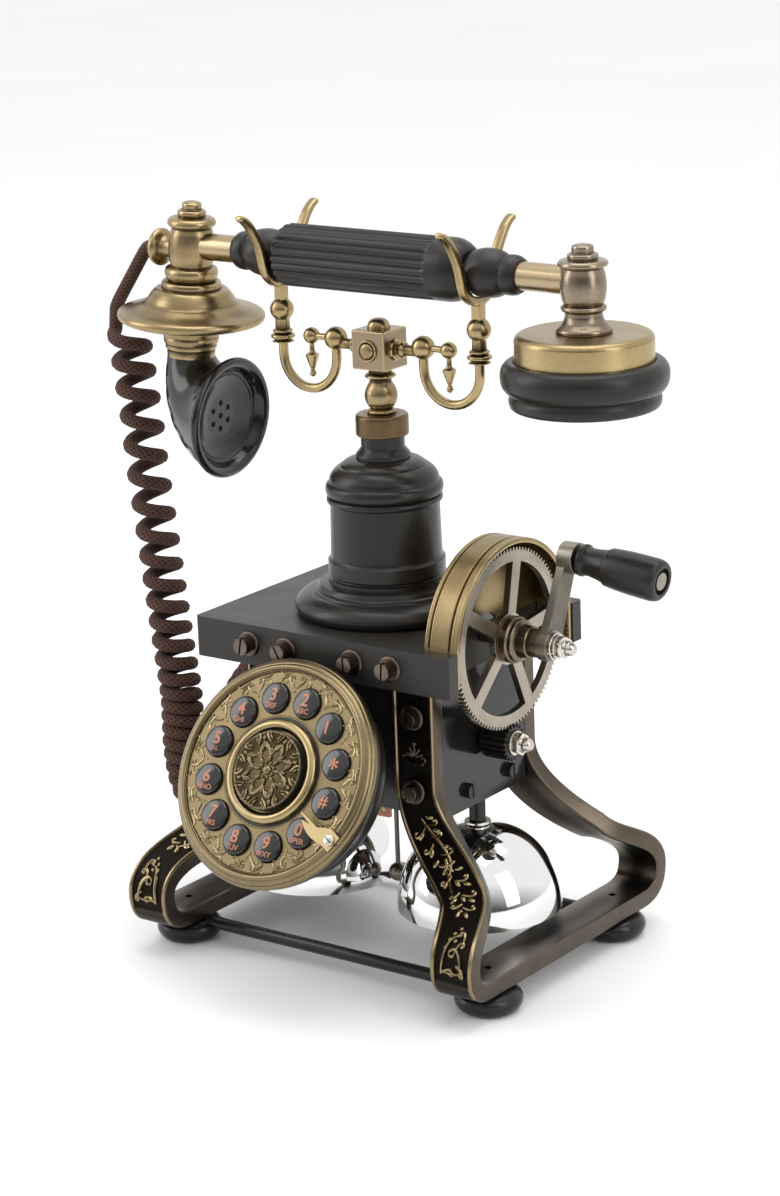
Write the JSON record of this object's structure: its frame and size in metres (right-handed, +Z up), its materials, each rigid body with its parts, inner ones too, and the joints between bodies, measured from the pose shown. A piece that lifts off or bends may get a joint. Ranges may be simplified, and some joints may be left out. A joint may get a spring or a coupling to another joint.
{
  "type": "desk crank telephone",
  "caption": "Antique style desk telephone on a cast skeleton stand, with a lift-off handset, a push-button dial, a crank generator and two gongs.",
  "frame": {"origin": "on the table surface, midway between the four bun feet", "axes": "+Z up; the dial faces -Y; the crank sticks out along +X and the mouthpiece is at -X"},
  "size_m": [0.2703, 0.1763, 0.3033],
  "materials": {
    "plate_black": "satin charcoal paint on a cast alloy slab",
    "box_black": "glossy black enamel",
    "column_black": "semi-gloss black lacquer",
    "foot_rubber": "black rubber",
    "aged_bronze": "antique bronze, polished back on its ridges",
    "cast_bronze": "cast alloy, antique bronze over black with gold edges",
    "antique_brass": "aged satin brass",
    "collar_bronze": "dark antique bronze",
    "steel": "worn satin steel",
    "bright_nut": "bright nickel",
    "bell_chrome": "mirror chrome",
    "pinion_black": "blackened steel",
    "black_plastic": "glossy black moulding",
    "magnet_red": "painted magnet steel",
    "copper_winding": "varnished copper winding on laminated steel",
    "board_green": "circuit board",
    "brown_braid": "brown braided cotton"
  },
  "bodies": {
    "base": {"top_plate": "plate_black", "generator_box": "box_black", "slotted_screws": "collar_bronze", "side_frame_left": "cast_bronze", "side_frame_right": "cast_bronze", "bun_feet": "foot_rubber", "tie_bars": "box_black", "column_shell": "column_black", "column_collar": "collar_bronze", "gear_hood": "antique_brass", "dial_bracket": "box_black", "dial_housing": "column_black", "dial_bezel": "antique_brass", "dial_face": "antique_brass", "dial_centre": "antique_brass", "finger_stop": "antique_brass", "keypad_board": "board_green", "bell_left": "bell_chrome", "bell_right": "bell_chrome", "bell_posts": "box_black", "bell_washers": "bright_nut", "ringer_yoke": "copper_winding", "field_magnets": "magnet_red", "hook_switch": "steel", "hook_spring": "steel", "cord_gland": "collar_bronze", "curly_cord": "brown_braid"},
    "key_1_button": {"key_1": "black_plastic"},
    "key_2_button": {"key_2": "black_plastic"},
    "key_3_button": {"key_3": "black_plastic"},
    "key_4_button": {"key_4": "black_plastic"},
    "key_5_button": {"key_5": "black_plastic"},
    "key_6_button": {"key_6": "black_plastic"},
    "key_7_button": {"key_7": "black_plastic"},
    "key_8_button": {"key_8": "black_plastic"},
    "key_9_button": {"key_9": "black_plastic"},
    "key_0_button": {"key_0": "black_plastic"},
    "key_hash_button": {"key_hash": "black_plastic"},
    "key_star_button": {"key_star": "black_plastic"},
    "clapper_swing_body": {"clapper": "steel"},
    "generator": {"armature": "copper_winding", "pinion": "pinion_black", "pinion_nut": "bright_nut"},
    "crank": {"main_gear": "steel", "crank_shaft": "collar_bronze", "crank_arm": "steel", "crank_nut": "bright_nut"},
    "crank_handle": {"crank_grip": "black_plastic"},
    "cradle": {"cradle_block": "aged_bronze", "cradle_arms": "aged_bronze", "cradle_forks": "aged_bronze"},
    "handset": {"handset_grip": "black_plastic", "handset_tube": "antique_brass", "handset_ends": "black_plastic", "mouthpiece_body": "aged_bronze", "mouthpiece_horn": "black_plastic", "mouthpiece_grille": "black_plastic", "earpiece_body": "aged_bronze", "earpiece_can": "antique_brass", "earpiece_cap": "black_plastic"}
  },
  "joints": [
    {"name": "key_1_press", "type": "slide", "parent": "base", "child": "key_1_button", "axis": [0, 0.8686, -0.4955], "range_m": [0, 0.0015], "stiffness_N_per_m": 600, "springref_m": -0.0006},
    {"name": "key_2_press", "type": "slide", "parent": "base", "child": "key_2_button", "axis": [0, 0.8686, -0.4955], "range_m": [0, 0.0015], "stiffness_N_per_m": 600, "springref_m": -0.0006},
    {"name": "key_3_press", "type": "slide", "parent": "base", "child": "key_3_button", "axis": [0, 0.8686, -0.4955], "range_m": [0, 0.0015], "stiffness_N_per_m": 600, "springref_m": -0.0006},
    {"name": "key_4_press", "type": "slide", "parent": "base", "child": "key_4_button", "axis": [0, 0.8686, -0.4955], "range_m": [0, 0.0015], "stiffness_N_per_m": 600, "springref_m": -0.0006},
    {"name": "key_5_press", "type": "slide", "parent": "base", "child": "key_5_button", "axis": [0, 0.8686, -0.4955], "range_m": [0, 0.0015], "stiffness_N_per_m": 600, "springref_m": -0.0006},
    {"name": "key_6_press", "type": "slide", "parent": "base", "child": "key_6_button", "axis": [0, 0.8686, -0.4955], "range_m": [0, 0.0015], "stiffness_N_per_m": 600, "springref_m": -0.0006},
    {"name": "key_7_press", "type": "slide", "parent": "base", "child": "key_7_button", "axis": [0, 0.8686, -0.4955], "range_m": [0, 0.0015], "stiffness_N_per_m": 600, "springref_m": -0.0006},
    {"name": "key_8_press", "type": "slide", "parent": "base", "child": "key_8_button", "axis": [0, 0.8686, -0.4955], "range_m": [0, 0.0015], "stiffness_N_per_m": 600, "springref_m": -0.0006},
    {"name": "key_9_press", "type": "slide", "parent": "base", "child": "key_9_button", "axis": [0, 0.8686, -0.4955], "range_m": [0, 0.0015], "stiffness_N_per_m": 600, "springref_m": -0.0006},
    {"name": "key_0_press", "type": "slide", "parent": "base", "child": "key_0_button", "axis": [0, 0.8686, -0.4955], "range_m": [0, 0.0015], "stiffness_N_per_m": 600, "springref_m": -0.0006},
    {"name": "key_hash_press", "type": "slide", "parent": "base", "child": "key_hash_button", "axis": [0, 0.8686, -0.4955], "range_m": [0, 0.0015], "stiffness_N_per_m": 600, "springref_m": -0.0006},
    {"name": "key_star_press", "type": "slide", "parent": "base", "child": "key_star_button", "axis": [0, 0.8686, -0.4955], "range_m": [0, 0.0015], "stiffness_N_per_m": 600, "springref_m": -0.0006},
    {"name": "clapper_swing", "type": "hinge", "parent": "base", "child": "clapper_swing_body", "pos_m": [0, 0, 0.058], "axis": [0, 1, 0], "range_deg": [-5.5, 5.5]},
    {"name": "crank_turn", "type": "hinge", "parent": "base", "child": "crank", "pos_m": [0.06, 0, 0.138], "axis": [1, 0, 0], "continuous": true},
    {"name": "pinion_turn", "type": "hinge", "parent": "base", "child": "generator", "pos_m": [0.05, 0, 0.0946], "axis": [1, 0, 0], "continuous": true},
    {"name": "handle_spin", "type": "hinge", "parent": "crank", "child": "crank_handle", "pos_m": [0.083, 0.01513, 0.17045], "axis": [0.9936, 0, -0.1132], "continuous": true},
    {"name": "hook_rise", "type": "slide", "parent": "base", "child": "cradle", "axis": [0, 0, 1], "range_m": [0, 0.004], "deforming": ["hook_spring"]},
    {"name": "handset_lift", "type": "slide", "parent": "base", "child": "handset", "axis": [0, 0, 1], "range_m": [0, 0.12], "deforming": ["curly_cord"]}
  ],
  "couplings": [
    {"joint": "pinion_turn", "follows": "crank_turn", "ratio": -5.2},
    {"joint": "hook_rise", "follows": "handset_lift", "ratio": 0.0333}
  ]
}
